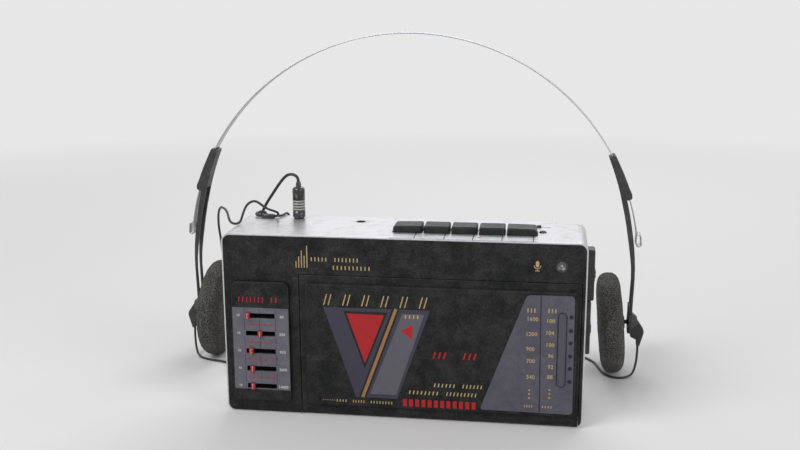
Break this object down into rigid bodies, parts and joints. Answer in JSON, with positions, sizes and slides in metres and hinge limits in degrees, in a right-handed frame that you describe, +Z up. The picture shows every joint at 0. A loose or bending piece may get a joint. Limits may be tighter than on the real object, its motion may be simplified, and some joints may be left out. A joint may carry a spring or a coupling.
{
  "type": "personal cassette player",
  "caption": "Pocket stereo cassette player with slide equaliser, radio dial, hinged tape door and top keys, joined by a cord to light headphones standing behind it.",
  "frame": {"origin": "centre of the player's base, which stands on the surface", "axes": "+X to the right along the player's width, +Y to the back, +Z up"},
  "size_m": [0.25, 0.1101, 0.178],
  "materials": {
    "silver_shell": "silver paint, fine scuffs",
    "dark_panel": "satin charcoal, worn",
    "grey_plate": "satin grey violet print",
    "red_plastic": "glossy",
    "key_plastic": "satin",
    "black_plastic": "satin",
    "plated_steel": "zinc plated",
    "reel_plastic": "cream acetal",
    "brass": "turned",
    "belt_rubber": "matt",
    "lamp_lens": "dark clear lens",
    "microphone_dome": "bright",
    "board_green": "lacquered board",
    "battery_case": "painted steel cells, plain",
    "band_steel": "bright spring steel",
    "arm_plastic": "semi-gloss black",
    "pad_foam": "open-cell foam",
    "plug_plastic": "glossy moulding",
    "pin_metal": "plated",
    "cord_rubber": "satin black"
  },
  "bodies": {
    "case": {"front_case": "silver_shell", "rear_case": "silver_shell", "front_panel": "dark_panel", "equalizer_housing": "dark_panel", "equalizer_plate": "grey_plate", "hinge_pins": "plated_steel", "key_label_strip": "silver_shell", "key_springs": "plated_steel", "mechanism_plate": "plated_steel", "motor": "plated_steel", "drive_belt": "belt_rubber", "lamp": "lamp_lens", "microphone": "microphone_dome", "jack_sockets": "black_plastic", "circuit_board": "board_green", "board_parts": "black_plastic", "batteries": "battery_case", "battery_contacts": "plated_steel", "case_screws": "plated_steel", "headband": "band_steel", "lead_return": "cord_rubber", "cord_coil": "cord_rubber", "splitter": "plug_plastic", "left_wire": "cord_rubber", "right_wire": "cord_rubber"},
    "door": {"door": "dark_panel", "door_panel": "dark_panel", "dial_plate": "grey_plate", "tape_holder": "black_plastic"},
    "band_knob_1": {"band_knob_1": "red_plastic"},
    "band_knob_2": {"band_knob_2": "red_plastic"},
    "band_knob_3": {"band_knob_3": "red_plastic"},
    "band_knob_4": {"band_knob_4": "red_plastic"},
    "band_knob_5": {"band_knob_5": "red_plastic"},
    "dial_pointer": {"dial_pointer": "red_plastic"},
    "record_key": {"record_key": "key_plastic"},
    "play_key": {"play_key": "key_plastic"},
    "rewind_key": {"rewind_key": "key_plastic"},
    "forward_key": {"forward_key": "key_plastic"},
    "stop_key": {"stop_key": "key_plastic"},
    "head_bridge": {"head_bridge": "plated_steel", "tape_heads": "plated_steel"},
    "pinch_roller": {"pinch_roller": "belt_rubber"},
    "supply_reel": {"supply_reel": "reel_plastic"},
    "take_up_reel": {"take_up_reel": "reel_plastic"},
    "flywheel": {"flywheel": "brass"},
    "motor_pulley": {"motor_pulley": "brass"},
    "volume_wheel": {"volume_wheel": "black_plastic"},
    "tuning_wheel": {"tuning_wheel": "black_plastic"},
    "mode_switch": {"mode_switch": "black_plastic"},
    "battery_cover": {"battery_cover": "black_plastic"},
    "plug": {"plug": "plug_plastic", "plug_pin": "pin_metal", "lead_cord": "cord_rubber"},
    "left_arm": {"left_arm": "arm_plastic"},
    "right_arm": {"right_arm": "arm_plastic"},
    "left_cup": {"left_cup": "arm_plastic", "left_pad": "pad_foam"},
    "right_cup": {"right_cup": "arm_plastic", "right_pad": "pad_foam"}
  },
  "joints": [
    {"name": "door_hinge", "type": "hinge", "parent": "case", "child": "door", "pos_m": [0.0174, -0.0183, 0.0037], "axis": [1, 0, 0], "range_deg": [0, 35]},
    {"name": "band_slide_1", "type": "slide", "parent": "case", "child": "band_knob_1", "axis": [1, 0, 0], "range_m": [-0.0022, 0.0107]},
    {"name": "band_slide_2", "type": "slide", "parent": "case", "child": "band_knob_2", "axis": [1, 0, 0], "range_m": [-0.0023, 0.0106]},
    {"name": "band_slide_3", "type": "slide", "parent": "case", "child": "band_knob_3", "axis": [1, 0, 0], "range_m": [-0.0019, 0.011]},
    {"name": "band_slide_4", "type": "slide", "parent": "case", "child": "band_knob_4", "axis": [1, 0, 0], "range_m": [-0.0064, 0.0065]},
    {"name": "band_slide_5", "type": "slide", "parent": "case", "child": "band_knob_5", "axis": [1, 0, 0], "range_m": [-0.0006, 0.0123]},
    {"name": "tuning_spin", "type": "hinge", "parent": "case", "child": "tuning_wheel", "pos_m": [0.0742, -0.0022, 0.043], "axis": [0, 1, 0], "range_deg": [0, 270]},
    {"name": "dial_slide", "type": "slide", "parent": "case", "child": "dial_pointer", "axis": [0, 0, 1], "range_m": [0, 0.033]},
    {"name": "volume_spin", "type": "hinge", "parent": "case", "child": "volume_wheel", "pos_m": [0.077, -0.0022, 0.0696], "axis": [0, 1, 0], "range_deg": [0, 270]},
    {"name": "mode_slide", "type": "slide", "parent": "case", "child": "mode_switch", "axis": [1, 0, 0], "range_m": [0, 0.0042]},
    {"name": "record_press", "type": "slide", "parent": "case", "child": "record_key", "axis": [0, 0, -1], "range_m": [0, 0.003], "stiffness_N_per_m": 250, "springref_m": -0.001},
    {"name": "play_press", "type": "slide", "parent": "case", "child": "play_key", "axis": [0, 0, -1], "range_m": [0, 0.003], "stiffness_N_per_m": 250, "springref_m": -0.001},
    {"name": "rewind_press", "type": "slide", "parent": "case", "child": "rewind_key", "axis": [0, 0, -1], "range_m": [0, 0.003], "stiffness_N_per_m": 250, "springref_m": -0.001},
    {"name": "forward_press", "type": "slide", "parent": "case", "child": "forward_key", "axis": [0, 0, -1], "range_m": [0, 0.003], "stiffness_N_per_m": 250, "springref_m": -0.001},
    {"name": "stop_press", "type": "slide", "parent": "case", "child": "stop_key", "axis": [0, 0, -1], "range_m": [0, 0.003], "stiffness_N_per_m": 250, "springref_m": -0.001},
    {"name": "bridge_slide", "type": "slide", "parent": "case", "child": "head_bridge", "axis": [0, 0, -1], "range_m": [0, 0.006]},
    {"name": "roller_spin", "type": "hinge", "parent": "head_bridge", "child": "pinch_roller", "pos_m": [0.0365, -0.013, 0.0721], "axis": [0, 1, 0], "continuous": true},
    {"name": "supply_spin", "type": "hinge", "parent": "case", "child": "supply_reel", "pos_m": [-0.01575, -0.007, 0.0342], "axis": [0, 1, 0], "continuous": true},
    {"name": "take_up_spin", "type": "hinge", "parent": "case", "child": "take_up_reel", "pos_m": [0.02675, -0.007, 0.0342], "axis": [0, 1, 0], "continuous": true},
    {"name": "flywheel_spin", "type": "hinge", "parent": "case", "child": "flywheel", "pos_m": [0.0365, 0.0089, 0.0615], "axis": [0, 1, 0], "continuous": true},
    {"name": "motor_spin", "type": "hinge", "parent": "case", "child": "motor_pulley", "pos_m": [-0.026, 0.0089, 0.0615], "axis": [0, 1, 0], "continuous": true},
    {"name": "cover_slide", "type": "slide", "parent": "case", "child": "battery_cover", "axis": [0, 1, 0], "range_m": [0, 0.025]},
    {"name": "plug_slide", "type": "slide", "parent": "case", "child": "plug", "axis": [0, 0, 1], "range_m": [0, 0.014]},
    {"name": "left_arm_slide", "type": "hinge", "parent": "case", "child": "left_arm", "pos_m": [-0.0065, 0.058, 0.0575], "axis": [0, 1, 0], "range_deg": [0, 7]},
    {"name": "right_arm_slide", "type": "hinge", "parent": "case", "child": "right_arm", "pos_m": [-0.0065, 0.058, 0.0575], "axis": [0, -1, 0], "range_deg": [0, 7]},
    {"name": "left_cup_tilt", "type": "hinge", "parent": "left_arm", "child": "left_cup", "pos_m": [-0.1245, 0.058, 0.02725], "axis": [0, -1, 0], "range_deg": [-2, 8]},
    {"name": "right_cup_tilt", "type": "hinge", "parent": "right_arm", "child": "right_cup", "pos_m": [0.1115, 0.058, 0.02743], "axis": [0, 1, 0], "range_deg": [-2, 8]}
  ],
  "couplings": [
    {"joint": "dial_slide", "follows": "tuning_spin", "m_per_rad": 0.007},
    {"joint": "bridge_slide", "follows": "play_press", "ratio": 2},
    {"joint": "motor_spin", "follows": "flywheel_spin", "ratio": 4.1667}
  ]
}
